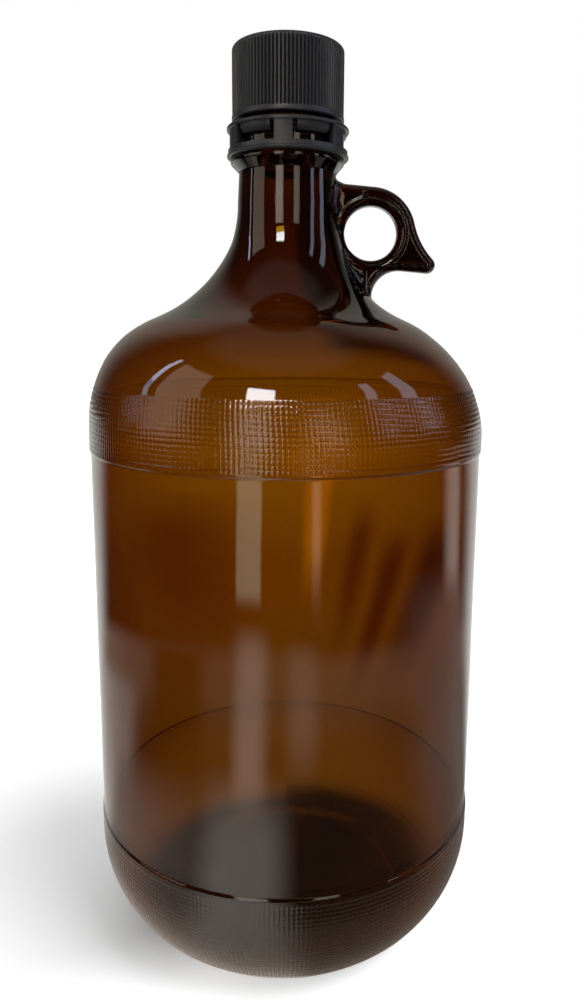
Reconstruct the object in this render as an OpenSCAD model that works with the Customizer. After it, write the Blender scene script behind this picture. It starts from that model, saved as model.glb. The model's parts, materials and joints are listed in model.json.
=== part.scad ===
// Amber glass jug with a moulded finger ring, a ribbed screw cap, a windowed
// tamper ring and a two-layer liner. Millimetres, +Z up, origin at the centre of
// the circle that the jug stands on.

/* [Jug body] */
// Outside diameter over the two gripping bands
band_dia = 158.7; // [140:0.1:180]
// How far the gripping bands stand out of the label panel
band_step = 0.65; // [0.3:0.05:2]
// Height of the lower gripping band, up to the label panel
heel_band_height = 53; // [48:1:75]
// Height of the smooth label panel
panel_height = 150; // [80:1:220]
// Straight part of the upper gripping band, below the shoulder
upper_band_height = 7.5; // [3:0.5:30]
// Radius of the curve from the body down to the base
heel_radius = 50; // [35:1:58]
// Diameter of the flat ring that the jug stands on, at its outer edge
bearing_dia = 100.8; // [90:0.2:120]
// Width of the flat ring that the jug stands on
bearing_width = 3.4; // [2:0.1:6]
// Radius of the corner between the heel curve and the standing ring
bearing_corner = 10; // [6:0.5:14]
// How far the middle of the base is pushed up
push_up = 9; // [4:0.5:14]
// Radius of the rounded shoulder
shoulder_radius = 48; // [35:1:60]
// Radius of the hollow sweep from the shoulder into the neck
sweep_radius = 48; // [35:1:60]
// Thickness of the glass in the body
glass_wall = 3.2; // [2.4:0.1:4.5]
// Thickness of the glass in the middle of the base
base_wall = 5; // [3.5:0.1:8]

/* [Neck and finish] */
// Diameter of the neck under the carrying bead
neck_dia = 37.8; // [34:0.1:44]
// How much wider the neck's radius is where the sweep ends
neck_flare = 0.5; // [0:0.1:2]
// Length of the neck between the sweep and the carrying bead
neck_length = 11.3; // [8:0.1:30]
// How far the carrying bead stands out of the neck
bead_out = 3.2; // [2:0.1:4]
// Height of the straight part of the carrying bead
bead_height = 1.6; // [1:0.1:4]
// Height of the taper under the carrying bead
bead_taper = 3.2; // [1.5:0.1:6]
// How far the locking bead stands out of the neck
lock_out = 1.7; // [1.2:0.1:2.4]
// How much smaller in radius the threaded part is than the neck
thread_set_in = 1.3; // [0.8:0.1:2]
// Height of the thread on its root cylinder
thread_height = 1.2; // [0.8:0.1:1.6]
// Diameter of the bore through the mouth and the neck
mouth_bore = 27; // [22:0.1:29]
// Radius of the rounded lip
lip_radius = 1.2; // [0.6:0.1:1.6]

/* [Finger ring] */
// Diameter of the finger hole
hole_dia = 21; // [18:0.5:26]
// Width of the ring's glass from the hole to its outer edge
ring_wall = 7.6; // [6.5:0.1:10]
// Distance from the root of the neck to the finger hole
ring_stand = 3.1; // [2:0.1:6]
// How far the finger hole's centre is below the end of the sweep
ring_drop = 10.9; // [4:0.1:14]
// Radius of the rounded edges of the handle, half its thickness
edge_radius = 5.5; // [4.8:0.1:6.5]
// Width of the raised rim along the outer edge
rim_width = 2.6; // [2:0.1:3]
// Flat width on the crest of the raised rim
rim_land = 0.3; // [0.1:0.1:0.8]
// Width of the raised bead round the finger hole
hole_bead_width = 3.2; // [2.6:0.1:3.6]
// Straight width of the hole's wall, along the hole
hole_land = 4; // [2:0.1:5]
// Thickness of the recessed web between the bead and the rim
web_thickness = 6.4; // [4:0.1:8]
// How far left of the hole's centre the recess ends in the solid root
root_line = 3; // [1:0.5:8]
// Rise of the handle's top edge at the neck over the ring's top
top_rise = 1.6; // [0:0.1:4]
// How far the spur's tip centre lies outside the ring
spur_out = 7.8; // [5:0.1:11]
// Angle of the spur below the horizontal
spur_angle = 27.4; // [20:0.5:32]
// Radius of the spur's rounded tip
spur_tip_radius = 3.3; // [2.8:0.1:4]
// Radius of the hollow edge between the ring and the spur
spur_hollow_radius = 30; // [20:1:45]
// Radius of the finger notch under the spur
notch_radius = 10.8; // [9:0.1:12]
// How far the notch bites into the ring's outline
notch_bite = 1.25; // [0.5:0.05:2]
// Angle of the notch's centre below the horizontal
notch_angle = 65.2; // [62:0.2:70]

/* [Screw cap] */
// Height of the cap
cap_height = 27.2; // [22:0.1:34]
// Thickness of the cap's skirt, from the thread's clearance to the ribs
cap_wall = 2.4; // [1.8:0.1:3]
// Thickness of the cap's top
cap_top = 1.8; // [1.2:0.1:2.6]
// Radius of the cap's top edge
cap_edge = 1.8; // [1:0.1:2.4]
// Number of ribs round the cap
rib_count = 94; // [60:1:110]
// Radius of the flute between two ribs
flute_radius = 0.5; // [0.3:0.05:0.55]
// Height of the smooth band below the ribs
cap_band = 2.1; // [1:0.1:4]
// How far the smooth band stands out of the ribs
cap_band_out = 0.2; // [0.1:0.05:0.5]
// Clearance between the thread's crest and the inside of the cap
cap_clearance = 0.4; // [0.3:0.05:0.6]

/* [Tamper ring] */
// Height of the tamper ring
tamper_height = 11.6; // [9:0.1:15]
// Thickness of the tamper ring between its rims
tamper_wall = 2.1; // [1.4:0.1:3]
// How far the rims at the ring's two edges stand out
rim_out = 0.45; // [0.2:0.05:0.8]
// Height of the upper rim
upper_rim = 1.4; // [0.8:0.1:2]
// Height of the band below the windows
lower_band = 3.2; // [2:0.1:4.5]
// Height of the lip at the bottom edge of the lower band
lower_lip = 1.1; // [0.6:0.1:1.8]
// Number of windows
window_count = 6; // [4:1:8]
// Width of the posts between the windows, as an angle
post_angle = 17; // [10:1:26]
// Direction of the first post, measured from the finger ring
post_start = 205.5; // [180:0.5:240]
// Height of the catches behind the windows
catch_height = 3.4; // [2:0.1:5]
// How far the top of a catch slopes up from its inner edge, to either side of the windows' top
catch_slope = 0.3; // [0.1:0.05:0.5]
// Width of each catch, as an angle
catch_angle = 34; // [20:1:36]
// Gap between the tamper ring and the cap
break_gap = 2; // [1.4:0.1:3]
// Clearance between the tamper ring and the glass
ring_clearance = 0.6; // [0.4:0.05:0.8]
// Upright play of the tamper ring between the two beads
ring_play = 0.3; // [0.2:0.05:0.45]

/* [Liner] */
// Thickness of the foam wad
wad_thickness = 1.4; // [0.8:0.1:2.5]
// Thickness of the facing film
facing_thickness = 0.3; // [0.2:0.05:0.6]
// Clearance between the liner and the cap's skirt
liner_clearance = 0.3; // [0.2:0.05:0.6]
// Clearance between the liner's faces and the cap and lip
seal_clearance = 0.1; // [0.05:0.05:0.2]

/* [Hidden] */
$fn = 96;
// Steps along each arc of an outline
arc_steps = 12;
// Steps from the middle of a rounded edge up to its crest
edge_steps = 5;
// Overlap that makes a cut run clear of a face
over = 1;

AMBER = "#6e3f0a";
BLACK = "#2b2b2b";
FOAM = "#f2f0e8";
FILM = "#dfe5e6";

// Body radii and heights
band_r = band_dia / 2;
panel_r = band_r - band_step;
panel_low = heel_band_height;
panel_high = panel_low + panel_height;
shoulder_low = panel_high + upper_band_height;
bearing_r = bearing_dia / 2;
heel_axis = band_r - heel_radius;
heel_low = bearing_corner + sqrt(pow(heel_radius - bearing_corner, 2) - pow(bearing_r - heel_axis, 2));
heel_turn = atan2(heel_low - bearing_corner, bearing_r - heel_axis);
dome_r = bearing_r - bearing_width;

// Shoulder and sweep, two arcs that touch
neck_r = neck_dia / 2;
root_r = neck_r + neck_flare;
shoulder_axis = band_r - shoulder_radius;
sweep_axis = root_r + sweep_radius;
sweep_high = shoulder_low
    + sqrt(pow(shoulder_radius + sweep_radius, 2) - pow(sweep_axis - shoulder_axis, 2));
shoulder_turn = atan2(sweep_high - shoulder_low, sweep_axis - shoulder_axis);

// Finish, its radii
bead_r = neck_r + bead_out;
lock_r = neck_r + lock_out;
thread_root_r = neck_r - thread_set_in;
bore_r = mouth_bore / 2;

// Throat, the inner arc that touches the bore at the top of the sweep and the inside
// of the shoulder, so that the glass thickens up into the neck
inner_shoulder = shoulder_radius - glass_wall;
bore_inset = shoulder_axis - bore_r;
sweep_rise = sweep_high - shoulder_low;
throat_radius = (pow(bore_inset, 2) + pow(sweep_rise, 2) - pow(inner_shoulder, 2))
    / (2 * (bore_inset + inner_shoulder));
throat_axis = bore_r + throat_radius;
throat_turn = atan2(sweep_rise, throat_axis - shoulder_axis);

// Heights of the finish, worked upwards
bead_low = sweep_high + neck_length;
bead_high = bead_low + bead_taper + bead_height;
tamper_low = bead_high + ring_play;
tamper_high = tamper_low + tamper_height;
window_low = tamper_low + lower_band;
window_high = tamper_high - upper_rim;
cap_low = tamper_high + break_gap;
cap_high = cap_low + cap_height;
lock_low = window_high + ring_play;
lock_high = cap_low - ring_play;
cap_ceiling = cap_high - cap_top;
wad_high = cap_ceiling - seal_clearance;
wad_low = wad_high - wad_thickness;
facing_low = wad_low - facing_thickness;
mouth_z = facing_low - seal_clearance;

// Closure radii
cap_in_r = thread_root_r + thread_height + cap_clearance;
cap_r = cap_in_r + cap_wall;
liner_r = cap_in_r - liner_clearance;
tamper_in_r = lock_r + ring_clearance;
tamper_r = tamper_in_r + tamper_wall;
catch_r = neck_r + ring_clearance;

// Finger ring, in the plane of the handle and from the hole's centre
hole_r = hole_dia / 2;
ring_r = hole_r + ring_wall;
ring_x = root_r + ring_stand + hole_r;
ring_z = sweep_high - ring_drop;
spur_tip = (ring_r + spur_out) * [cos(spur_angle), -sin(spur_angle)];
notch = (ring_r + notch_radius - notch_bite) * [cos(notch_angle), -sin(notch_angle)];
hollow_reach = ring_r + spur_hollow_radius;
hollow_turn = acos(
    (pow(hollow_reach, 2) + pow(norm(spur_tip), 2) - pow(spur_tip_radius + spur_hollow_radius, 2))
    / (2 * hollow_reach * norm(spur_tip))) - spur_angle;
hollow = hollow_reach * [cos(hollow_turn), sin(hollow_turn)];
hollow_tip_turn = atan2(hollow[1] - spur_tip[1], hollow[0] - spur_tip[0]);
notch_to_tip = spur_tip - notch;
under_turn = atan2(notch_to_tip[1], notch_to_tip[0])
    + acos((notch_radius + spur_tip_radius) / norm(notch_to_tip));
neck_corner = [-(ring_x - bore_r), ring_r + top_rise];
top_turn = atan2(neck_corner[1], neck_corner[0]) - acos(ring_r / norm(neck_corner));
notch_end_turn = 215;
bead_arch = sqrt(pow(edge_radius, 2) - pow(hole_land / 2, 2));
edge_turn = acos(1 - rim_width / edge_radius);
crest_height = sqrt(pow(edge_radius, 2) - pow(edge_radius - rim_width + rim_land, 2));

// Points of an arc round centre c, from angle a to angle b. An arc that goes on
// from another starts at step 1, because the two share a point.
function arc(c, r, a, b, first = 0) =
    [for (i = [first : arc_steps]) let (t = a + (b - a) * i / arc_steps) c + r * [cos(t), sin(t)]];

// Outer profile of the glass, from the middle of the base up to the mouth
function outside() = concat(
    [for (i = [0 : arc_steps]) let (s = i / arc_steps) [dome_r * s, push_up * (1 - s * s)]],
    arc([bearing_r, bearing_corner], bearing_corner, -90, -heel_turn),
    arc([heel_axis, heel_low], heel_radius, -heel_turn, 0, 1),
    [
        [band_r, panel_low - band_step],
        [panel_r, panel_low],
        [panel_r, panel_high],
        [band_r, panel_high + band_step]
    ],
    arc([shoulder_axis, shoulder_low], shoulder_radius, 0, shoulder_turn),
    arc([sweep_axis, sweep_high], sweep_radius, 180 + shoulder_turn, 180, 1),
    [
        [neck_r, bead_low],
        [bead_r, bead_low + bead_taper],
        [bead_r, bead_high],
        [neck_r, bead_high],
        [neck_r, lock_low],
        [lock_r, lock_low],
        [lock_r, (lock_low + lock_high) / 2],
        [thread_root_r, lock_high]
    ],
    arc([thread_root_r - lip_radius, mouth_z - lip_radius], lip_radius, 0, 90),
    [[0, mouth_z]]);

// Inner profile of the glass, from the middle of the floor up through the mouth
floor_z = base_wall + push_up;
floor_turn = asin((heel_low - base_wall) / (heel_radius - glass_wall));
floor_edge = heel_axis + (heel_radius - glass_wall) * cos(floor_turn);
function inside() = concat(
    [for (i = [0 : arc_steps]) let (s = i / arc_steps) [floor_edge * s, floor_z - push_up * s * s]],
    arc([heel_axis, heel_low], heel_radius - glass_wall, -floor_turn, 0, 1),
    [
        [panel_r - glass_wall, panel_low],
        [panel_r - glass_wall, panel_high]
    ],
    arc([shoulder_axis, shoulder_low], inner_shoulder, 0, throat_turn),
    arc([throat_axis, sweep_high], throat_radius, 180 + throat_turn, 180, 1),
    [
        [bore_r, mouth_z - lip_radius],
        [bore_r + lip_radius, mouth_z + over],
        [0, mouth_z + over]
    ]);

// Outline of the handle, taken in by a depth d all round
function handle_outline(d) = concat(
    [neck_corner - d * [0, 1]],
    arc([0, 0], ring_r - d, top_turn, hollow_turn),
    arc(hollow, spur_hollow_radius + d, 180 + hollow_turn, 180 + hollow_tip_turn, 1),
    arc(spur_tip, spur_tip_radius - d, hollow_tip_turn, under_turn - 180, 1),
    arc(notch, notch_radius + d, under_turn, notch_end_turn),
    [[neck_corner[0], notch[1] - notch_radius / 2]]);

// Skin of the handle: its outline, taken in further at each level so that the edge
// comes out round. The outer levels lie past the crests, which are then cut flat.
module handle_skin() {
    levels = [for (i = [-edge_steps : edge_steps]) edge_turn * i / edge_steps];
    rings = [for (t = levels) handle_outline(edge_radius * (1 - cos(t)))];
    count = len(rings[0]);
    points = [
        for (i = [0 : len(levels) - 1])
            for (p = rings[i])
                [p[0], p[1], edge_radius * sin(levels[i])]
    ];
    sides = [
        for (i = [0 : len(levels) - 2])
            for (j = [0 : count - 1])
                let (k = (j + 1) % count)
                    [i * count + j, i * count + k, (i + 1) * count + k, (i + 1) * count + j]
    ];
    low_face = [for (j = [count - 1 : -1 : 0]) j];
    high_face = [for (j = [0 : count - 1]) len(points) - count + j];
    polyhedron(points, concat(sides, [low_face, high_face]));
}

// Recess in one face of the handle, between the rim, the hole's bead and the root
module handle_recess() {
    translate([0, 0, web_thickness / 2])
        linear_extrude(edge_radius)
            intersection() {
                polygon(handle_outline(rim_width));
                translate([-root_line, -2 * ring_x])
                    square([4 * ring_x, 4 * ring_x]);
            }
}

// Bead round the finger hole, with a straight wall in the middle
module hole_bead() {
    rotate_extrude()
        intersection() {
            translate([hole_r + bead_arch, 0])
                circle(r = edge_radius);
            translate([hole_r, -edge_radius])
                square([hole_bead_width, 2 * edge_radius]);
        }
}

// Finger ring, spur and root, lying in the XY plane round the hole's centre
module handle() {
    difference() {
        intersection() {
            handle_skin();
            cube([8 * ring_x, 8 * ring_x, 2 * crest_height], center = true);
        }
        cylinder(h = 4 * edge_radius, r = hole_r + hole_bead_width / 2, center = true);
        handle_recess();
        mirror([0, 0, 1])
            handle_recess();
    }
    hole_bead();
}

module glass_bottle() {
    color(AMBER)
        difference() {
            union() {
                rotate_extrude()
                    polygon(outside());
                translate([ring_x, 0, ring_z])
                    rotate([90, 0, 0])
                        handle();
            }
            rotate_extrude()
                polygon(inside());
        }
}

// Ring of plastic that stays on the neck once the cap has been broken from it
module tamper_ring() {
    post_pitch = 360 / window_count;
    color(BLACK) {
        difference() {
            rotate_extrude()
                polygon([
                    [tamper_in_r, tamper_low],
                    [tamper_r + rim_out - lower_lip / 2, tamper_low],
                    [tamper_r + rim_out, tamper_low + lower_lip / 2],
                    [tamper_r + rim_out, tamper_low + lower_lip],
                    [tamper_r, tamper_low + lower_lip + rim_out],
                    [tamper_r, window_high - rim_out],
                    [tamper_r + rim_out, window_high],
                    [tamper_r + rim_out, tamper_high - rim_out],
                    [tamper_r, tamper_high],
                    [tamper_in_r, tamper_high]
                ]);
            for (i = [0 : window_count - 1])
                rotate([0, 0, post_start + post_angle / 2 + i * post_pitch])
                    rotate_extrude(angle = post_pitch - post_angle)
                        translate([tamper_in_r - over, window_low])
                            square([tamper_wall + rim_out + 2 * over, window_high - window_low]);
        }
        for (i = [0 : window_count - 1])
            rotate([0, 0, post_start + (i + 0.5) * post_pitch - catch_angle / 2])
                rotate_extrude(angle = catch_angle)
                    polygon([
                        [catch_r, window_high - catch_slope],
                        [tamper_in_r + tamper_wall / 4, window_high + catch_slope],
                        [tamper_in_r + 3 * tamper_wall / 4, window_high + catch_slope],
                        [tamper_in_r + 3 * tamper_wall / 4, window_high - catch_height / 2],
                        [tamper_in_r, window_high - catch_height],
                        [catch_r, window_high - catch_height / 2]
                    ]);
    }
}

// Outline of the ribbed skirt: a circle with a flute between each pair of ribs
module ribbed_outline() {
    difference() {
        circle(r = cap_r);
        for (i = [0 : rib_count - 1])
            rotate([0, 0, (i + 0.5) * 360 / rib_count])
                translate([cap_r, 0])
                    circle(r = flute_radius, $fn = 16);
    }
}

module screw_cap() {
    band_high = cap_low + cap_band;
    edge_low = cap_high - cap_edge;
    color(BLACK)
        difference() {
            union() {
                translate([0, 0, band_high - over])
                    linear_extrude(edge_low - band_high + over)
                        ribbed_outline();
                rotate_extrude()
                    intersection() {
                        union() {
                            translate([cap_r - cap_edge, edge_low])
                                circle(r = cap_edge);
                            translate([0, edge_low - over])
                                square([cap_r - cap_edge, cap_edge + over]);
                        }
                        translate([0, edge_low])
                            square([cap_r, cap_edge]);
                    }
                rotate_extrude()
                    polygon([
                        [0, cap_low],
                        [cap_r, cap_low],
                        [cap_r + cap_band_out, cap_low + cap_band_out],
                        [cap_r + cap_band_out, band_high - cap_band_out],
                        [cap_r - flute_radius, band_high],
                        [0, band_high]
                    ]);
            }
            translate([0, 0, cap_low - over])
                cylinder(h = cap_ceiling - cap_low + over, r = cap_in_r);
        }
}

// Soft disc that the cap presses on the lip
module liner_wad() {
    color(FOAM)
        translate([0, 0, wad_low])
            cylinder(h = wad_thickness, r = liner_r);
}

// Chemical-proof film on the face of the wad
module liner_facing() {
    color(FILM)
        translate([0, 0, facing_low])
            cylinder(h = facing_thickness, r = liner_r);
}

glass_bottle();
tamper_ring();
screw_cap();
liner_wad();
liner_facing();
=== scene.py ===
"""Amber glass jug with a finger ring, a ribbed screw cap and a tamper ring.

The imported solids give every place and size: the jug stands on z = 0 with its axis on
the z axis, the finger ring points along +x and the viewer stands at -y. Lengths in the
classes below are millimetres and become metres when a mesh is drawn.
"""

import json
import logging
import math
from contextlib import contextmanager
from dataclasses import dataclass
from enum import Enum
from typing import Iterable, Iterator, Optional, Sequence

import bmesh
import bpy
import numpy as np
from mathutils import Matrix, Vector

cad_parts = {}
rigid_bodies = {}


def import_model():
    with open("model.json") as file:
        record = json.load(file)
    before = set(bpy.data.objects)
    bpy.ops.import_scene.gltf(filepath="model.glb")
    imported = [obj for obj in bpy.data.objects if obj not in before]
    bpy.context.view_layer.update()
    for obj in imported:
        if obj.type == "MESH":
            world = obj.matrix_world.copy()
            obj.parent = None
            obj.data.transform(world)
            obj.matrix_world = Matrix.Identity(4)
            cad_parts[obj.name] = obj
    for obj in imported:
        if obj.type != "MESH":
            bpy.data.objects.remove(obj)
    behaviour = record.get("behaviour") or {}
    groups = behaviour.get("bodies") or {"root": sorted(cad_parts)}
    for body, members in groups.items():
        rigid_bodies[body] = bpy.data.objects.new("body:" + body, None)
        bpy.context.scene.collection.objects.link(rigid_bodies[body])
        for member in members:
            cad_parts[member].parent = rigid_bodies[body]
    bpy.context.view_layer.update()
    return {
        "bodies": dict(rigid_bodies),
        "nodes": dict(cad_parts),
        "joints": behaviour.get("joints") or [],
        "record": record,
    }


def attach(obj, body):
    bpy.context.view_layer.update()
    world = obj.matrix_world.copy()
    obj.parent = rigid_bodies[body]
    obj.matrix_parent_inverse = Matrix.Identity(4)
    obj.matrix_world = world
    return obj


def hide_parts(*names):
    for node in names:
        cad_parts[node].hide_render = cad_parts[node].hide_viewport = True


MM = 0.001
LOG = logging.getLogger("jug")

Point = tuple[float, float]
Point3 = tuple[float, float, float]
Row = tuple[Point, Point]
Piece = bpy.types.Object
Material = bpy.types.Material
Tree = bpy.types.NodeTree
Node = bpy.types.Node
Socket = bpy.types.NodeSocket


class Body(Enum):
    """Moving bodies of the frame that pieces ride on."""

    BOTTLE = "bottle"
    RING = "ring"
    CAP = "cap"


class Solid(Enum):
    """Solids of the frame."""

    GLASS = "glass_bottle"
    TAMPER = "tamper_ring"
    CAP = "screw_cap"
    WAD = "liner_wad"
    FACING = "liner_facing"


class Slot(Enum):
    """Material slots of the record."""

    GLASS = "amber_glass"
    BLACK = "black_plastic"


class Join(Enum):
    """Ways of putting two closed meshes together."""

    ADD = "UNION"
    CUT = "DIFFERENCE"


class Pick(Enum):
    """What is picked in a mesh."""

    FACES = "FACE"
    VERTICES = "VERT"


# ----------------------------------------------------------------------------
# Colour and node helpers
# ----------------------------------------------------------------------------


def linear(code: str) -> Point3:
    """Turns an sRGB hex value into linear light.

    Args:
        code: six hex digits after a hash sign.

    Returns:
        Red, green and blue from 0 to 1.
    """
    channels = (int(code[i : i + 2], 16) / 255 for i in (1, 3, 5))
    red, green, blue = (
        c / 12.92 if c <= 0.04045 else ((c + 0.055) / 1.055) ** 2.4 for c in channels
    )
    return red, green, blue


def add_node(
    tree: Tree,
    kind: str,
    values: Optional[dict[object, object]] = None,
    links: Optional[dict[object, Socket]] = None,
    **settings: object,
) -> Node:
    """Adds a node with its settings, socket values and incoming links.

    Args:
        tree: node tree that takes the node.
        kind: the shader node's type name.
        values: constants for its input sockets, by name or number.
        links: output sockets that feed its inputs, by name or number.
        **settings: attributes of the node itself.

    Returns:
        The new node.
    """
    node = tree.nodes.new("ShaderNode" + kind)
    for name, value in settings.items():
        setattr(node, name, value)
    for name, value in (values or {}).items():
        node.inputs[name].default_value = value
    for name, socket in (links or {}).items():
        tree.links.new(socket, node.inputs[name])
    return node


def product(tree: Tree, masks: Sequence[Socket]) -> Socket:
    """Multiplies masks together.

    Args:
        tree: the node tree.
        masks: sockets with values from 0 to 1.

    Returns:
        Their product.
    """
    total = masks[0]
    for mask in masks[1:]:
        node = add_node(tree, "Math", links={0: total, 1: mask}, operation="MULTIPLY")
        total = node.outputs[0]
    return total


def blank_material(name: str) -> tuple[Material, Tree, Socket]:
    """Makes a material whose tree holds only the texture coordinates.

    Args:
        name: the material's name.

    Returns:
        The material, its node tree and the place on the object.
    """
    material = bpy.data.materials.new(name)
    material.use_nodes = True
    tree = material.node_tree
    tree.nodes.clear()
    return material, tree, add_node(tree, "TexCoord").outputs["Object"]


# ----------------------------------------------------------------------------
# Mesh helpers
# ----------------------------------------------------------------------------


class Bench:
    """Modelling moves that the pieces share, each made with Blender's operators."""

    @staticmethod
    def clear_selection() -> None:
        """Leaves edit mode and deselects every object."""
        if bpy.context.object and bpy.context.object.mode != "OBJECT":
            bpy.ops.object.mode_set(mode="OBJECT")
        bpy.ops.object.select_all(action="DESELECT")

    @staticmethod
    def activate(piece: Piece) -> None:
        """Makes a piece the one selected and active object.

        Args:
            piece: the object.
        """
        Bench.clear_selection()
        piece.select_set(True)
        bpy.context.view_layer.objects.active = piece

    @staticmethod
    @contextmanager
    def editing(piece: Piece) -> Iterator[None]:
        """Opens a piece in edit mode with all of it selected, and closes it afterwards.

        Args:
            piece: the mesh.
        """
        Bench.activate(piece)
        bpy.ops.object.mode_set(mode="EDIT")
        bpy.ops.mesh.select_all(action="SELECT")
        yield
        bpy.ops.object.mode_set(mode="OBJECT")

    @staticmethod
    @contextmanager
    def picked(piece: Piece, what: Pick, keep: np.ndarray) -> Iterator[None]:
        """Opens a piece in edit mode with only some of it selected.

        Args:
            piece: the mesh.
            what: whether faces or vertices are picked.
            keep: one truth for each of them.
        """
        with Bench.editing(piece):
            bpy.ops.mesh.select_mode(type=what.value)
        mesh = piece.data
        for items in (mesh.vertices, mesh.edges, mesh.polygons):
            items.foreach_set("select", np.zeros(len(items), bool))
        chosen = mesh.polygons if what is Pick.FACES else mesh.vertices
        chosen.foreach_set("select", keep)
        bpy.ops.object.mode_set(mode="EDIT")
        yield
        bpy.ops.object.mode_set(mode="OBJECT")

    @staticmethod
    def chain(name: str, points: Sequence[Point3], closed: bool = False) -> Piece:
        """Draws a line of edges by extruding one vertex from point to point.

        Args:
            name: the new object's name.
            points: places in millimetres.
            closed: whether the last point joins the first.

        Returns:
            The new object.
        """
        Bench.clear_selection()
        bpy.ops.mesh.primitive_plane_add(size=MM, location=(0, 0, 0))
        piece = bpy.context.object
        piece.name = piece.data.name = name
        places = [Vector(p) * MM for p in points]
        with Bench.editing(piece):
            bpy.ops.mesh.select_mode(type="VERT")
            bpy.ops.mesh.select_all(action="SELECT")
            bpy.ops.mesh.merge(type="CENTER")
            bpy.ops.transform.translate(value=places[0])
            for here, there in zip(places, places[1:]):
                bpy.ops.mesh.extrude_vertices_move(TRANSFORM_OT_translate={"value": there - here})
            if closed:
                mesh = bmesh.from_edit_mesh(piece.data)
                mesh.verts.ensure_lookup_table()
                mesh.verts[0].select = True
                bmesh.update_edit_mesh(piece.data)
                bpy.ops.mesh.edge_face_add()
        return piece

    @staticmethod
    def spin(piece: Piece, steps: int) -> None:
        """Spins a line a full turn about the z axis into a skin.

        Args:
            piece: the line to spin.
            steps: number of columns.
        """
        with Bench.editing(piece):
            bpy.ops.mesh.spin(
                steps=steps, dupli=False, angle=2 * math.pi, use_auto_merge=True,
                center=(0, 0, 0), axis=(0, 0, 1),
            )
        Bench.close(piece)

    @staticmethod
    def close(piece: Piece, merge: float = 0.002) -> None:
        """Merges doubles and turns a closed skin's faces outwards.

        Args:
            piece: the mesh to clean.
            merge: merging distance in millimetres.
        """
        with Bench.editing(piece):
            bpy.ops.mesh.remove_doubles(threshold=merge * MM)
            bpy.ops.mesh.normals_make_consistent(inside=False)

    @staticmethod
    def rows(items: Sequence[object], field: str) -> np.ndarray:
        """Reads a vector from each vertex or face of a mesh.

        Args:
            items: the mesh's vertices or polygons.
            field: which of their vectors is read.

        Returns:
            Rows of x, y, z in millimetres.
        """
        flat = np.empty(len(items) * 3)
        items.foreach_get(field, flat)
        return flat.reshape(-1, 3) / MM

    @staticmethod
    def places(piece: Piece) -> np.ndarray:
        """Gives a piece's vertices as rows of x, y, z in millimetres."""
        return Bench.rows(piece.data.vertices, "co")

    @staticmethod
    def centres(piece: Piece) -> np.ndarray:
        """Gives the centres of a piece's faces as rows of x, y, z in millimetres."""
        return Bench.rows(piece.data.polygons, "center")

    @staticmethod
    def place(piece: Piece, places: np.ndarray) -> None:
        """Moves a piece's vertices to rows of x, y, z in millimetres."""
        piece.data.vertices.foreach_set("co", (places * MM).ravel())
        piece.data.update()

    @staticmethod
    def modify(piece: Piece, kind: str, **settings: object) -> None:
        """Adds a modifier to a piece and applies it.

        Args:
            piece: the mesh.
            kind: the modifier's type.
            **settings: the modifier's own settings.
        """
        Bench.activate(piece)
        modifier = piece.modifiers.new(kind.title(), kind)
        for name, value in settings.items():
            setattr(modifier, name, value)
        bpy.ops.object.modifier_apply(modifier=modifier.name)

    @staticmethod
    def combine(piece: Piece, tool: Piece, how: Join) -> None:
        """Adds or cuts one closed mesh with another and removes the tool.

        The tool is moved by a hundredth of a millimetre or so where faces that nearly
        touch leave an open or lost skin.

        Args:
            piece: the mesh that stays.
            tool: the mesh that is used up.
            how: whether the tool is added or cut away.
        """
        before, extra = Bench.volume(piece), Bench.volume(tool)
        if how is Join.ADD:
            least, most = max(before, extra) * 1.0001, before + extra
        else:
            least, most = before - extra, before * 0.999
        kept = piece.data.copy()
        for nudge in (0.0, 0.007, 0.013, 0.019, 0.026, 0.034):
            Bench.place(tool, Bench.places(tool) + np.array([nudge, 0.6 * nudge, 0.8 * nudge]))
            Bench.modify(piece, "BOOLEAN", operation=how.value, object=tool, solver="EXACT")
            if least < Bench.volume(piece) < most and Bench.is_closed(piece):
                break
            piece.data = kept.copy()
        else:
            raise RuntimeError(f"{piece.name} and {tool.name} don't combine")
        bpy.data.objects.remove(tool)

    @staticmethod
    def volume(piece: Piece) -> float:
        """Measures the volume inside a closed skin.

        Args:
            piece: the skin.

        Returns:
            Cubic millimetres.
        """
        mesh = bmesh.new()
        mesh.from_mesh(piece.data)
        inside = mesh.calc_volume(signed=True) / MM**3
        mesh.free()
        return inside

    @staticmethod
    def is_closed(piece: Piece) -> bool:
        """Says whether a skin is closed.

        Args:
            piece: the skin.

        Returns:
            True where each of its edges has exactly two faces.
        """
        mesh = bmesh.new()
        mesh.from_mesh(piece.data)
        closed = all(edge.is_manifold for edge in mesh.edges)
        mesh.free()
        return closed

    @staticmethod
    def smooth(piece: Piece, degrees: float) -> None:
        """Shades a piece smooth, with edges sharper than an angle left crisp."""
        Bench.activate(piece)
        bpy.ops.object.shade_smooth_by_angle(angle=math.radians(degrees))

    @staticmethod
    def hand_over(piece: Piece, material: Material, body: Body, slot: Slot, solid: Solid) -> Piece:
        """Dresses a piece and hangs it on its body.

        Args:
            piece: the finished mesh.
            material: its finish.
            body: the body that it rides on.
            slot: the record's slot for its finish; not used.
            solid: the solid that it stands for.

        Returns:
            The piece.
        """
        piece.data.materials.clear()
        piece.data.materials.append(material)
        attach(piece, body.value)
        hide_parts(solid.value)
        faces = len(piece.data.polygons)
        LOG.info("%s: %d faces, rides on %s", piece.name, faces, body.value)
        return piece


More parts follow.
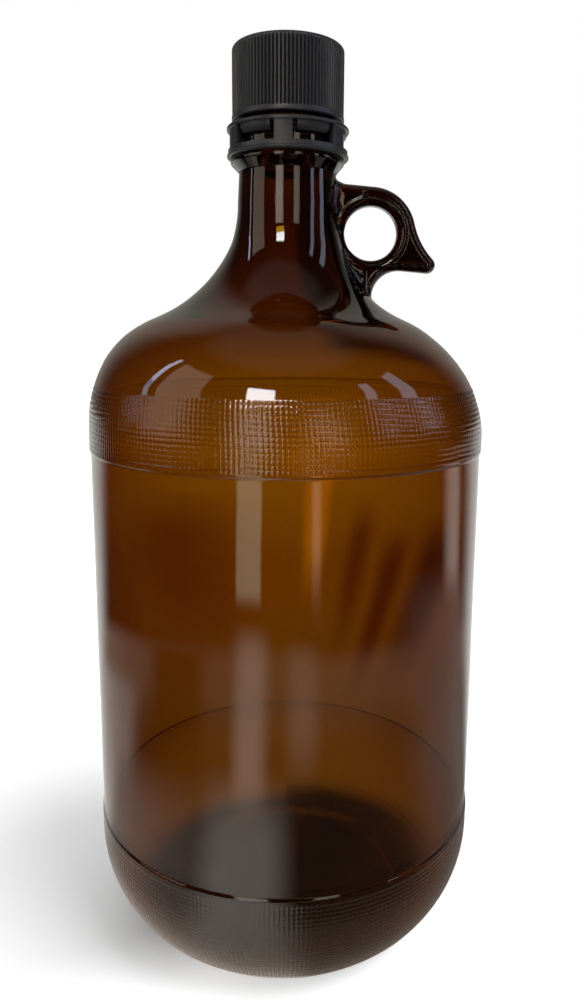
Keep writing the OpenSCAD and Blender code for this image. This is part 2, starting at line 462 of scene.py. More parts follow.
def arc(centre: Point, radius: float, start: float, end: float, steps: int) -> list[Point]:
    """Lists points along an arc.

    Args:
        centre: the arc's centre.
        radius: its radius.
        start: angle of the first point, in degrees.
        end: angle of the last point, in degrees.
        steps: number of steps between them.

    Returns:
        steps + 1 points.
    """
    turns = [math.radians(start + (end - start) * i / steps) for i in range(steps + 1)]
    return [(centre[0] + radius * math.cos(t), centre[1] + radius * math.sin(t)) for t in turns]


def rounded(points: Sequence[Point], radius: float, steps: int = 3) -> list[Point]:
    """Rounds the inner corners of an open line.

    Args:
        points: the line's corners.
        radius: radius of the round, less where a side is short.
        steps: steps along each round.

    Returns:
        The line with its corners rounded.
    """
    out = [points[0]]
    for before, corner, after in zip(points, points[1:], points[2:]):
        a, b, c = Vector(before), Vector(corner), Vector(after)
        into, away = (a - b), (c - b)
        turn = into.angle(away)
        reach = min(radius / math.tan(turn / 2), 0.45 * into.length, 0.45 * away.length)
        into.normalize()
        away.normalize()
        for i in range(steps + 1):
            t = i / steps
            start, end = b + into * reach, b + away * reach
            spot = start * (1 - t) ** 2 + b * 2 * t * (1 - t) + end * t**2
            out.append((spot.x, spot.y))
    out.append(points[-1])
    return out


def thinned(points: Sequence[Point], least: float = 0.02) -> list[Point]:
    """Drops the points of a line that lie too close to the one before.

    Args:
        points: the line.
        least: the distance at which a point is kept.

    Returns:
        The points that are left.
    """
    out = [points[0]]
    for p in points[1:]:
        if math.dist(p, out[-1]) > least:
            out.append(p)
    return out


def upright(points: Iterable[Point]) -> list[Point3]:
    """Stands a flat line of radius and height up in the xz plane."""
    return [(x, 0.0, z) for x, z in points]


# ----------------------------------------------------------------------------
# Finishes
# ----------------------------------------------------------------------------


@dataclass(frozen=True)
class AmberGlass:
    """Soda-lime glass coloured amber with iron and sulphur, blown and fire-polished.

    Its surface is clear and its colour builds up with thickness, so thin walls look
    golden brown and the thick ring and neck nearly black.
    """

    seen_through: str = "#70400a"
    path_mm: float = 6.4
    blue_left: float = 0.0006
    ior: float = 1.52
    wave_mm: float = 26.0
    wave_depth_mm: float = 0.012
    ring_tint: str = "#5a3a30"
    ring_starts_mm: float = 17.5
    ring_half_width_mm: float = 7.5
    ring_low_mm: float = 250.0

    def absorption(self) -> tuple[float, Point3]:
        """Works out the density and colour that leave seen_through after path_mm.

        Returns:
            Density per metre and the absorption shader's colour.
        """
        red, green, _ = linear(self.seen_through)
        losses = [-math.log(c) / (self.path_mm * MM) for c in (red, green, self.blue_left)]
        density = max(losses) * 1.001
        return density, tuple(1 - loss / density for loss in losses)

    def ring(self, tree: Tree, place: Socket) -> Socket:
        """Darkens the solid finger ring, which light crosses the long way round.

        Args:
            tree: the node tree.
            place: the place on the object.

        Returns:
            The colour that glass lets in: white on the thin walls, dark on the ring.
        """
        parts = add_node(tree, "SeparateXYZ", links={0: place})
        across = add_node(tree, "Math", links={0: parts.outputs[1]}, operation="ABSOLUTE")
        edges = (
            (parts.outputs[0], self.ring_starts_mm, 5.0),
            (across.outputs[0], self.ring_half_width_mm, -1.5),
            (parts.outputs[2], self.ring_low_mm, 3.0),
        )
        masks = [
            add_node(
                tree, "MapRange", {"From Min": start * MM, "From Max": (start + reach) * MM},
                {"Value": length}, interpolation_type="SMOOTHSTEP",
            ).outputs[0]
            for length, start, reach in edges
        ]
        colours = {6: (1, 1, 1, 1), 7: (*linear(self.ring_tint), 1)}
        mix = add_node(tree, "Mix", colours, {0: product(tree, masks)}, data_type="RGBA")
        return mix.outputs[2]

    def make(self) -> Material:
        """Builds the material.

        Returns:
            The material.
        """
        material, tree, place = blank_material("amber_soda_lime_glass")
        waves = add_node(
            tree, "TexNoise", {"Scale": 1 / (self.wave_mm * MM), "Detail": 1.5, "Roughness": 0.45},
            {"Vector": place},
        )
        bump = add_node(
            tree, "Bump", {"Strength": 1.0, "Distance": self.wave_depth_mm * MM},
            {"Height": waves.outputs["Fac"]},
        )
        shader = add_node(
            tree, "BsdfPrincipled",
            {"Roughness": 0.0, "IOR": self.ior, "Transmission Weight": 1.0},
            {"Normal": bump.outputs["Normal"], "Base Color": self.ring(tree, place)},
        )
        density, colour = self.absorption()
        volume = add_node(tree, "VolumeAbsorption", {"Color": (*colour, 1), "Density": density})
        ends = {"Surface": shader.outputs[0], "Volume": volume.outputs[0]}
        add_node(tree, "OutputMaterial", links=ends)
        return material


def opaque(
    tree: Tree,
    height: Socket,
    relief: Point,
    values: dict[str, object],
    links: Optional[dict[str, Socket]] = None,
) -> None:
    """Ends an opaque finish whose surface follows a fine texture.

    Args:
        tree: the material's node tree.
        height: the texture's height.
        relief: strength and depth in millimetres of the texture.
        values: the shader's constants.
        links: output sockets that feed the shader.
    """
    strength, depth = relief
    bump = add_node(
        tree, "Bump", {"Strength": strength, "Distance": depth * MM}, {"Height": height}
    )
    shader = add_node(
        tree, "BsdfPrincipled", values, {"Normal": bump.outputs["Normal"], **(links or {})}
    )
    add_node(tree, "OutputMaterial", links={"Surface": shader.outputs[0]})


@dataclass(frozen=True)
class BlackPolypropylene:
    """Injection-moulded black polypropylene with a fine satin from the tool.

    It shows a soft grey sheen along every rib and edge, and a faint orange-peel grain.
    """

    colour: str = "#1b1c20"
    roughness: float = 0.38
    grain_mm: float = 0.35
    grain_depth_mm: float = 0.012
    cloud_mm: float = 11.11

    def make(self) -> Material:
        """Builds the material.

        Returns:
            The material.
        """
        material, tree, place = blank_material("moulded_black_polypropylene")
        grain, cloud = (
            add_node(
                tree, "TexNoise",
                {"Scale": 1 / (size * MM), "Detail": detail, "Roughness": mix}, {"Vector": place},
            )
            for size, detail, mix in ((self.grain_mm, 3.0, 0.6), (self.cloud_mm, 4.0, 0.55))
        )
        span = {"From Min": 0.3, "From Max": 0.7,
                "To Min": self.roughness - 0.06, "To Max": self.roughness + 0.08}
        rough = add_node(tree, "MapRange", span, {"Value": cloud.outputs["Fac"]})
        opaque(
            tree, grain.outputs["Fac"], (0.6, self.grain_depth_mm),
            {"Base Color": (*linear(self.colour), 1), "IOR": 1.49},
            {"Roughness": rough.outputs["Result"]},
        )
        return material


@dataclass(frozen=True)
class WadFoam:
    """Expanded polyethylene foam, cut from sheet.

    Its skin is matt with closed cells of a few tenths of a millimetre.
    """

    colour: str = "#e9e6db"
    cell_mm: float = 0.45

    def make(self) -> Material:
        """Builds the material.

        Returns:
            The material.
        """
        material, tree, place = blank_material("cut_polyethylene_foam")
        cells = add_node(
            tree, "TexVoronoi", {"Scale": 1 / (self.cell_mm * MM)}, {"Vector": place},
            feature="DISTANCE_TO_EDGE",
        )
        opaque(tree, cells.outputs["Distance"], (0.5, 0.1),
               {"Base Color": (*linear(self.colour), 1), "Roughness": 0.85})
        return material


@dataclass(frozen=True)
class FacingFilm:
    """Chemical-proof film bonded to the wad: smooth, pale and slightly glossy."""

    colour: str = "#dfe3e2"
    roughness: float = 0.22
    ripple_mm: float = 4.545

    def make(self) -> Material:
        """Builds the material.

        Returns:
            The material.
        """
        material, tree, place = blank_material("bonded_facing_film")
        ripple = add_node(
            tree, "TexNoise", {"Scale": 1 / (self.ripple_mm * MM), "Detail": 2.0}, {"Vector": place}
        )
        opaque(tree, ripple.outputs["Fac"], (0.4, 0.04),
               {"Base Color": (*linear(self.colour), 1), "Roughness": self.roughness})
        return material


# ----------------------------------------------------------------------------
# Jug
# ----------------------------------------------------------------------------


@dataclass
class GlassJug:
    """The blown glass: body, neck, finish and finger ring, in one closed skin.

    The skin runs from the middle of the base up the outside, over the lip and down
    the inside. Columns stand all round, and each cell of the two gripping bands is
    split again to carry its raised dots.
    """

    columns: int = 142
    band_r: float = 79.22
    panel_r: float = 78.7
    panel_low: float = 53.0
    panel_high: float = 203.0
    shoulder_low: float = 210.5
    heel_radius: float = 50.0
    bearing_r: float = 50.4
    bearing_width: float = 3.4
    corner_radius: float = 10.0
    push_up: float = 9.0
    shoulder_radius: float = 48.0
    sweep_radius: float = 48.0
    wall: float = 3.2
    base_wall: float = 5.0
    root_r: float = 19.4
    neck_r: float = 18.9
    bead_r: float = 22.1
    lock_r: float = 20.6
    thread_root_r: float = 17.6
    bore_r: float = 13.5
    lip: float = 1.2
    sweep_high: float = 299.474
    bead_low: float = 310.774
    bead_high: float = 315.574
    lock_low: float = 326.374
    lock_high: float = 329.174
    mouth_z: float = 352.974
    dot_height: float = 0.16
    dot_bevel: float = 0.45
    dot_pitch: float = 1.755
    heel_dot_turn: float = 39.8
    shoulder_dot_turn: float = 22.05
    pitch: float = 4.233
    thread_height: float = 1.2
    thread_turns: float = 1.6
    thread_rise: float = 5.2

    def heel_axis(self) -> Point:
        """Works out where the heel's curve has its centre.

        Returns:
            Its distance from the axis and its height, in millimetres.
        """
        x = self.band_r - self.heel_radius
        reach = self.heel_radius - self.corner_radius
        return x, self.corner_radius + math.sqrt(reach**2 - (self.bearing_r - x) ** 2)

    def heel_rows(self) -> list[Row]:
        """Lists the coarse rows of the heel's dots, from below.

        Returns:
            Each row's place on the profile and its outward direction.
        """
        x, z = self.heel_axis()
        turns = np.linspace(-self.heel_dot_turn, 0, 11)
        rows = []
        for t in np.radians(turns):
            out = (math.cos(t), math.sin(t))
            rows.append(((x + self.heel_radius * out[0], z + self.heel_radius * out[1]), out))
        step = 2 * self.dot_pitch
        rows += [((self.band_r, z + step * i), (1.0, 0.0)) for i in (1, 2)]
        return rows

    def shoulder_rows(self) -> list[Row]:
        """Lists the coarse rows of the shoulder's dots, from below.

        Returns:
            Each row's place on the profile and its outward direction.
        """
        x = self.band_r - self.shoulder_radius
        first = self.panel_high + 1.4
        straight = self.shoulder_low - first
        length = straight + self.shoulder_radius * math.radians(self.shoulder_dot_turn)
        rows = []
        for s in np.linspace(0, length, 8):
            if s <= straight:
                rows.append(((self.band_r, first + s), (1.0, 0.0)))
            else:
                t = (s - straight) / self.shoulder_radius
                out = (math.cos(t), math.sin(t))
                spot = (
                    x + self.shoulder_radius * out[0],
                    self.shoulder_low + self.shoulder_radius * out[1],
                )
                rows.append((spot, out))
        return rows

    def outside(self) -> list[Point]:
        """Lists the outer profile from the middle of the base up to the lip.

        Returns:
            Points as distance from the axis and height, in millimetres.
        """
        heel_x, heel_z = self.heel_axis()
        band_r, panel_r = self.band_r, self.panel_r
        panel_low, panel_high = self.panel_low, self.panel_high
        dome_r = self.bearing_r - self.bearing_width
        corner_turn = math.degrees(math.atan2(heel_z - self.corner_radius, self.bearing_r - heel_x))
        shoulder_x = self.band_r - self.shoulder_radius
        sweep_x = self.root_r + self.sweep_radius
        turn = math.degrees(math.atan2(self.sweep_high - self.shoulder_low, sweep_x - shoulder_x))
        shares = (0, 0.1, 0.25, 0.4, 0.55, 0.7, 0.84, 0.95)
        dome = [(dome_r * s, self.push_up * (1 - s * s)) for s in shares]
        foot = [(dome_r - 0.4, 0.12), (dome_r + 0.3, 0.0), (self.bearing_r - 0.6, 0.0)]
        corner = arc((self.bearing_r, self.corner_radius), self.corner_radius, -88, -corner_turn, 5)
        heel = arc((heel_x, heel_z), self.heel_radius, -corner_turn, -self.heel_dot_turn, 5)[1:-1]
        heel_dots = [spot for spot, _ in self.heel_rows()]
        low_step = [
            (band_r, panel_low - 1.2), (band_r - 0.05, panel_low - 0.75),
            (band_r - 0.3, panel_low - 0.35), (panel_r + 0.08, panel_low),
            (panel_r, panel_low + 0.5),
        ]
        panel = [(panel_r, z) for z in np.linspace(panel_low + 6, panel_high - 6, 24)]
        high_step = [
            (panel_r, panel_high - 0.5), (panel_r + 0.08, panel_high),
            (band_r - 0.3, panel_high + 0.35), (band_r - 0.05, panel_high + 0.75),
            (band_r, panel_high + 1.0),
        ]
        shoulder_dots = [spot for spot, _ in self.shoulder_rows()]
        shoulder = arc(
            (shoulder_x, self.shoulder_low), self.shoulder_radius, self.shoulder_dot_turn, turn, 14
        )[1:]
        sweep = arc((sweep_x, self.sweep_high), self.sweep_radius, 180 + turn, 180, 34)[1:]
        taper, rise = self.neck_r - self.root_r, self.bead_low - 1 - self.sweep_high
        neck = [
            (self.root_r + taper * i / 7, self.sweep_high + rise * i / 7) for i in range(1, 8)
        ]
        finish = rounded(
            [
                neck[-1],
                (self.neck_r, self.bead_low), (self.bead_r, self.bead_low + 3.2),
                (self.bead_r, self.bead_high), (self.neck_r, self.bead_high),
                (self.neck_r, self.lock_low), (self.lock_r, self.lock_low),
                (self.lock_r, (self.lock_low + self.lock_high) / 2),
                (self.thread_root_r, self.lock_high),
                (self.thread_root_r, self.mouth_z - self.lip - 0.1),
            ],
            0.7,
        )
        lip = arc((self.thread_root_r - self.lip, self.mouth_z - self.lip), self.lip, 0, 90, 5)
        return thinned(
            dome + foot + corner + heel + heel_dots + low_step + panel + high_step
            + shoulder_dots + shoulder + sweep + neck + finish[1:] + lip
        )

    def inside(self) -> list[Point]:
        """Lists the inner profile from the lip down to the middle of the floor.

        Returns:
            Points as distance from the axis and height, in millimetres.
        """
        heel_x, heel_z = self.heel_axis()
        shoulder_x = self.band_r - self.shoulder_radius
        (throat_x, throat_z), throat_r, turn = self.throat()
        floor_z = self.base_wall + self.push_up
        bowl = self.heel_radius - self.wall
        floor_turn = math.degrees(math.asin((heel_z - self.base_wall) / bowl))
        floor_r = heel_x + bowl * math.cos(math.radians(floor_turn))
        lip = arc((self.bore_r + self.lip, self.mouth_z - self.lip), self.lip, 90, 180, 5)
        bore_ends = (self.mouth_z - self.lip - 3, self.sweep_high + 4)
        bore = [(self.bore_r, z) for z in np.linspace(*bore_ends, 8)]
        throat = arc((throat_x, throat_z), throat_r, 180, 180 + turn, 20)
        shoulder = arc(
            (shoulder_x, self.shoulder_low), self.shoulder_radius - self.wall, turn, 0, 14
        )[1:]
        wall_r = self.panel_r - self.wall
        walls = [(wall_r, z) for z in np.linspace(self.panel_high, self.panel_low, 12)]
        bowl_arc = arc((heel_x, heel_z), bowl, 0, -floor_turn, 12)
        shares = (0.95, 0.85, 0.7, 0.55, 0.4, 0.25, 0.1, 0.0)
        floor = [(floor_r * s, floor_z - self.push_up * s * s) for s in shares]
        return lip + bore + throat + shoulder + walls + bowl_arc + floor

    def throat(self) -> tuple[Point, float, float]:
        """Works out the inner arc from the bore into the shoulder.

        Returns:
            Its centre, its radius and how far it turns, in degrees.
        """
        bowl = self.shoulder_radius - self.wall
        inset = self.band_r - self.shoulder_radius - self.bore_r
        rise = self.sweep_high - self.shoulder_low
        radius = (inset**2 + rise**2 - bowl**2) / (2 * (inset + bowl))
        turn = math.degrees(math.atan2(rise, radius - inset))
        return (self.bore_r + radius, self.sweep_high), radius, turn

    def sway(self, z: np.ndarray) -> np.ndarray:
        """Says how far the blown shoulder has settled away from the finger ring.

        Args:
            z: heights in millimetres.

        Returns:
            Shift along x in millimetres.
        """
        heights = (0, 212, 216, 220, 224, 228, 232, 236, 240, 248, 256, 264, 284, 400)
        shifts = (0, 0, -0.2, -0.5, -0.8, -1.0, -1.35, -1.8, -2.3, -3.0, -2.9, -2.4, -0.3, 0)
        return np.interp(z, heights, shifts)

    @staticmethod
    def on_band(spots: np.ndarray, rows: list[Row], slack: float = 0.0) -> np.ndarray:
        """Tells which places lie on the outside of a gripping band.

        Args:
            spots: rows of x, y, z.
            rows: the band's coarse rows.
            slack: how far above and below the band a place may lie.

        Returns:
            One truth for each place.
        """
        knots = [spot[1] for spot, _ in rows]
        z = spots[:, 2]
        outer = np.interp(z, knots, [spot[0] for spot, _ in rows])
        half_wall = 1.5
        outside = np.hypot(spots[:, 0], spots[:, 1]) > outer - half_wall
        return outside & (z > knots[0] - slack) & (z < knots[-1] + slack)

    def split_band(self, piece: Piece, rows: list[Row]) -> None:
        """Splits the cells of one gripping band in four and sinks them by a dot's height.

        Args:
            piece: the jug's skin.
            rows: the band's coarse rows, as place and outward direction.
        """
        with Bench.picked(piece, Pick.FACES, self.on_band(Bench.centres(piece), rows)):
            bpy.ops.mesh.subdivide(number_cuts=1, smoothness=0)
        spots = Bench.places(piece)
        mine = self.on_band(spots, rows, slack=0.01)
        x, y, z = spots[mine].T
        radii, knots, out_r, out_z = np.array([(*spot, *out) for spot, out in rows]).T
        levels = np.arange(len(rows)) * 2
        row = np.round(np.interp(z, knots, levels))
        out_r, out_z = np.interp(row, levels, out_r), np.interp(row, levels, out_z)
        edge = (row == 0) | (row == levels[-1])
        sink = np.where(edge, 0.3 * self.dot_height, self.dot_height)
        step = 2 * math.pi / (self.columns * 2)
        turn = np.round(np.arctan2(y, x) / step) * step
        r = np.interp(row, levels, radii) - sink * out_r
        height = np.interp(row, levels, knots) - sink * out_z
        spots[mine] = np.column_stack([r * np.cos(turn), r * np.sin(turn), height])
        Bench.place(piece, spots)

    def raise_dots(self, piece: Piece) -> None:
        """Raises a dot in every split cell; its shading runs over it as over a small dome.

        Args:
            piece: the jug's skin.
        """
        centres = Bench.centres(piece)
        centres[:, 0] -= self.sway(centres[:, 2])
        heel = self.on_band(centres, self.heel_rows())
        shoulder = self.on_band(centres, self.shoulder_rows())
        with Bench.picked(piece, Pick.FACES, heel | shoulder):
            bpy.ops.mesh.inset(
                thickness=self.dot_bevel * MM, depth=self.dot_height * MM, use_individual=True
            )

    def settle(self, piece: Piece) -> None:
        """Gives the blown skin its settled shoulder and the slight waves of its panel.

        Args:
            piece: the jug's skin.
        """
        spots = Bench.places(piece)
        x, y, z = spots.T
        r = np.hypot(x, y)
        turn = np.arctan2(y, x)
        panel = np.clip((z - self.panel_low) / 12, 0, 1) * np.clip((self.panel_high - z) / 12, 0, 1)
        panel *= r > 60
        wave = (
            0.05 * np.sin(3 * turn + z / 31)
            + 0.04 * np.sin(5 * turn - z / 19 + 1.3)
            + 0.03 * np.sin(8 * turn + z / 11 + 0.4)
        )
        grow = 1 + panel * wave / np.maximum(r, 1)
        spots[:, :2] *= grow[:, None]
        spots[:, 0] += self.sway(z)
        Bench.place(piece, spots)

    def thread(self) -> Piece:
        """Models the moulded right-hand thread as a ridge that runs out at both ends.

        Returns:
            The closed ridge.
        """
        r, h, turns = self.thread_root_r, self.thread_height, self.thread_turns
        flank = [(r - 0.6, 1.3), (r, 1.15), (r + 0.75 * h, 0.62), (r + h, 0.3)]
        section = [(x, -z) for x, z in flank] + flank[::-1]
        ridge = Bench.chain("thread_ridge", upright(section), closed=True)
        steps = int(96 * turns)
        Bench.modify(
            ridge, "SCREW", angle=turns * 2 * math.pi, steps=steps, render_steps=steps,
            screw_offset=turns * self.pitch * MM, use_merge_vertices=False, axis="Z",
        )
        spots = Bench.places(ridge)
        ring = np.arange(len(spots)) // len(section)
        along = ring / ring.max()
        fade = np.clip(np.minimum(along, 1 - along) * turns * 360 / 22, 0, 1)
        fade = fade * fade * (3 - 2 * fade)
        now = np.hypot(spots[:, 0], spots[:, 1])
        new = np.where(now > r - 0.1, r - 0.35 + (now - r + 0.35) * fade, now)
        spots[:, :2] *= (new / now)[:, None]
        spots[:, 2] += self.lock_high + self.thread_rise
        Bench.place(ridge, spots)
        with Bench.editing(ridge):
            bpy.ops.mesh.select_mode(type="EDGE")
            bpy.ops.mesh.select_all(action="DESELECT")
            bpy.ops.mesh.select_non_manifold()
            bpy.ops.mesh.edge_face_add()
            bpy.ops.mesh.select_all(action="SELECT")
            bpy.ops.mesh.normals_make_consistent(inside=False)
        return ridge

    def build(self, material: Material) -> Piece:
        """Models the jug and dresses it.

        Args:
            material: the amber glass.

        Returns:
            The finished piece.
        """
        skin = Bench.chain("jug_glass", upright(self.outside() + self.inside()))
        Bench.spin(skin, self.columns)
        self.split_band(skin, self.heel_rows())
        self.split_band(skin, self.shoulder_rows())
        self.settle(skin)
        Bench.combine(skin, FingerRing().build(self), Join.ADD)
        Bench.combine(skin, self.thread(), Join.ADD)
        self.blend_root(skin)
        self.raise_dots(skin)
        Bench.smooth(skin, 50)
        return Bench.hand_over(skin, material, Body.BOTTLE, Slot.GLASS, Solid.GLASS)

    def blend_root(self, skin: Piece) -> None:
        """Smooths the seam where the finger ring grows out of the neck and shoulder.

        Args:
            skin: the jug with its ring.
        """
        x, y, z = Bench.places(skin).T
        radii, heights = zip(*(p for p in self.outside() if p[1] > 205))
        x -= self.sway(z)
        off = np.hypot(x, y) - np.interp(z, heights, radii)
        near = (np.abs(off) < 2.6) & (x > 0) & (np.abs(y) < 8.2) & (z > 252) & (z < 314)
        with Bench.picked(skin, Pick.VERTICES, near):
            bpy.ops.mesh.vertices_smooth(factor=0.5, repeat=18)


@dataclass
class FingerRing:
    """The moulded ring for one finger, with its spur and the root on the neck.

    Sizes are taken from the middle of the finger hole, x away from the neck and z up.
    """

    centre: Point = (33.0, 288.574)
    hole_r: float = 10.5
    ring_r: float = 18.1
    half: float = 5.5
    rim: float = 2.5
    recess_half: float = 3.1
    bead_r: float = 13.9
    hole_land: float = 2.0
    corner: Point = (-20.0, 19.7)
    tip: Point = (22.994, -11.919)
    tip_r: float = 3.3
    hollow_r: float = 30.0
    notch: Point = (11.598, -25.1)
    notch_r: float = 10.8
    root_line: float = -3.0

    def outline(self, inset: float = 0.0) -> list[Point]:
        """Lists the outline of the ring and spur, clockwise from the neck.

        Args:
            inset: how far inside the true outline to run, in millimetres.

        Returns:
            Points round the hole's centre.
        """
        reach = self.ring_r + self.hollow_r
        tip_reach = math.hypot(*self.tip)
        spur_turn = math.atan2(-self.tip[1], self.tip[0])
        gap = reach**2 + tip_reach**2 - (self.tip_r + self.hollow_r) ** 2
        hollow_turn = math.acos(gap / (2 * reach * tip_reach)) - spur_turn
        hollow = (reach * math.cos(hollow_turn), reach * math.sin(hollow_turn))
        hollow_tip = math.atan2(hollow[1] - self.tip[1], hollow[0] - self.tip[0])
        run = Vector(self.tip) - Vector(self.notch)
        under = math.atan2(run.y, run.x) + math.acos((self.notch_r + self.tip_r) / run.length)
        lean = math.atan2(self.corner[1], self.corner[0])
        top = lean - math.acos(self.ring_r / math.hypot(*self.corner))
        deg = math.degrees
        points = [(self.corner[0], self.corner[1] - inset)]
        points += arc((0, 0), self.ring_r - inset, deg(top), deg(hollow_turn), 22)
        points += arc(
            hollow, self.hollow_r + inset, 180 + deg(hollow_turn), 180 + deg(hollow_tip), 14
        )[1:]
        points += arc(self.tip, self.tip_r - inset, deg(hollow_tip), deg(under) - 180, 12)[1:]
        points += arc(self.notch, self.notch_r + inset, deg(under), 225, 20)
        points.append((self.corner[0], self.notch[1] - 6))
        return points

    def slab(self, name: str, points: Sequence[Point], low: float, high: float) -> Piece:
        """Extrudes a flat outline into a slab lying across the y axis.

        Args:
            name: the new object's name.
            points: the outline round the hole's centre.
            low: y of the front face.
            high: y of the back face.

        Returns:
            The closed slab.
        """
        cx, cz = self.centre
        piece = Bench.chain(name, [(x + cx, low, z + cz) for x, z in points], closed=True)
        rise = {"value": (0, (high - low) * MM, 0)}
        with Bench.editing(piece):
            bpy.ops.mesh.edge_face_add()
            bpy.ops.mesh.select_all(action="SELECT")
            bpy.ops.mesh.extrude_region_move(TRANSFORM_OT_translate=rise)
            bpy.ops.mesh.select_all(action="SELECT")
            bpy.ops.mesh.normals_make_consistent(inside=False)
        return piece

    def skin(self) -> Piece:
        """Models the rounded slab: its face is extruded in steps, each drawn to its outline.

        Returns:
            The closed slab.
        """
        cx, cz = self.centre
        levels = 7
        crest = math.acos(1 - self.rim / self.half)
        turns = [crest * i / levels for i in range(-levels, levels + 1)]
        loops = [
            [(x + cx, self.half * math.sin(t), z + cz)
             for x, z in self.outline(self.half * (1 - math.cos(t)))]
            for t in turns
        ]
        piece = Bench.chain("ring_skin", loops[0], closed=True)
        step = 0.5
        with Bench.editing(piece):
            bpy.ops.mesh.edge_face_add()
            for _ in loops[1:]:
                bpy.ops.mesh.extrude_region_move(
                    TRANSFORM_OT_translate={"value": (0, step * MM, 0)}
                )
        spots = Bench.places(piece)
        if len(spots) != len(loops[0]) * len(loops):
            raise RuntimeError("the ring's skin has lost points")
        level = np.round((spots[:, 1] - spots[:, 1].min()) / step).astype(int)
        first = np.array(loops[0])
        for k, loop in enumerate(loops):
            here = np.flatnonzero(level == k)
            gap = (spots[here, None, 0] - first[None, :, 0]) ** 2
            gap += (spots[here, None, 2] - first[None, :, 2]) ** 2
            spots[here] = np.array(loop)[gap.argmin(1)]
        Bench.place(piece, spots)
        Bench.close(piece)
        return piece

    def bead(self) -> Piece:
        """Models the rounded bead round the finger hole.

        Returns:
            The closed bead.
        """
        arch = math.sqrt(self.half**2 - self.hole_land**2)
        end = math.degrees(math.acos(max(-1.0, (self.bead_r - self.hole_r - arch) / self.half)))
        start = 180 - math.degrees(math.asin(self.hole_land / self.half))
        crown = arc((self.hole_r + arch, 0), self.half, start, end, 9)[1:]
        section = [(self.hole_r, -self.hole_land), (self.hole_r, self.hole_land)]
        section += crown + [(x, -z) for x, z in reversed(crown)]
        piece = Bench.chain("ring_bead", upright(section), closed=True)
        Bench.spin(piece, 96)
        with Bench.editing(piece):
            bpy.ops.transform.rotate(
                value=math.pi / 2, orient_axis="X", center_override=(0.0, 0.0, 0.0)
            )
            bpy.ops.transform.translate(value=(self.centre[0] * MM, 0, self.centre[1] * MM))
        return piece

    def recess(self, side: int) -> Piece:
        """Models the cutter of the recess on one side.

        Args:
            side: -1 for the front, 1 for the back.

        Returns:
            The closed cutter.
        """
        edge = [p for p in self.outline(self.rim + 0.07) if p[0] > self.root_line]
        edge = [(self.root_line, edge[0][1])] + edge
        edge.append((self.root_line + 0.8, edge[-1][1] - 0.5))
        ends = sorted((side * self.recess_half, side * 9.0))
        return self.slab("recess_cutter", edge, *ends)

    def build(self, jug: GlassJug) -> Piece:
        """Models the ring, ready to be joined to the jug.

        Args:
            jug: the jug, for the space that the root must stay out of.

        Returns:
            The closed ring with its root in the glass of the neck.
        """
        ring = self.skin()
        cx, cz = self.centre
        Bench.clear_selection()
        bpy.ops.mesh.primitive_cylinder_add(
            vertices=90, radius=12 * MM, depth=30 * MM,
            location=(cx * MM, 0, cz * MM), rotation=(math.pi / 2, 0, 0),
        )
        drill = bpy.context.object
        bpy.ops.object.transform_apply(location=True, rotation=True, scale=True)
        Bench.combine(ring, drill, Join.CUT)
        for side in (-1, 1):
            Bench.combine(ring, self.recess(side), Join.CUT)
        Bench.combine(ring, self.bead(), Join.ADD)
        Bench.modify(
            ring, "REMESH", mode="VOXEL", voxel_size=0.42 * MM, adaptivity=0.0,
            use_smooth_shade=True,
        )
        Bench.modify(ring, "SMOOTH", factor=0.5, iterations=5)
        core = Bench.chain("root_cutter", upright(self.hollow(jug)))
        Bench.spin(core, 96)
        spots = Bench.places(core)
        spots[:, 0] += jug.sway(spots[:, 2])
        Bench.place(core, spots)
        Bench.combine(ring, core, Join.CUT)
        Bench.modify(ring, "DECIMATE", ratio=0.38)
        return ring

    def hollow(self, jug: GlassJug) -> list[Point]:
        """Lists the profile of the space inside the neck and shoulder, a little grown.

        Args:
            jug: the jug.

        Returns:
            A line from axis to axis, as radius and height.
        """
        centre, radius, turn = jug.throat()
        grown = 1.5
        throat = arc(centre, radius - grown, 170 + turn, 180, 20)
        return [(0.0, throat[0][1])] + throat + [(jug.bore_r + grown, 316.0), (0.0, 316.0)]


# ----------------------------------------------------------------------------
# Closure
# ----------------------------------------------------------------------------


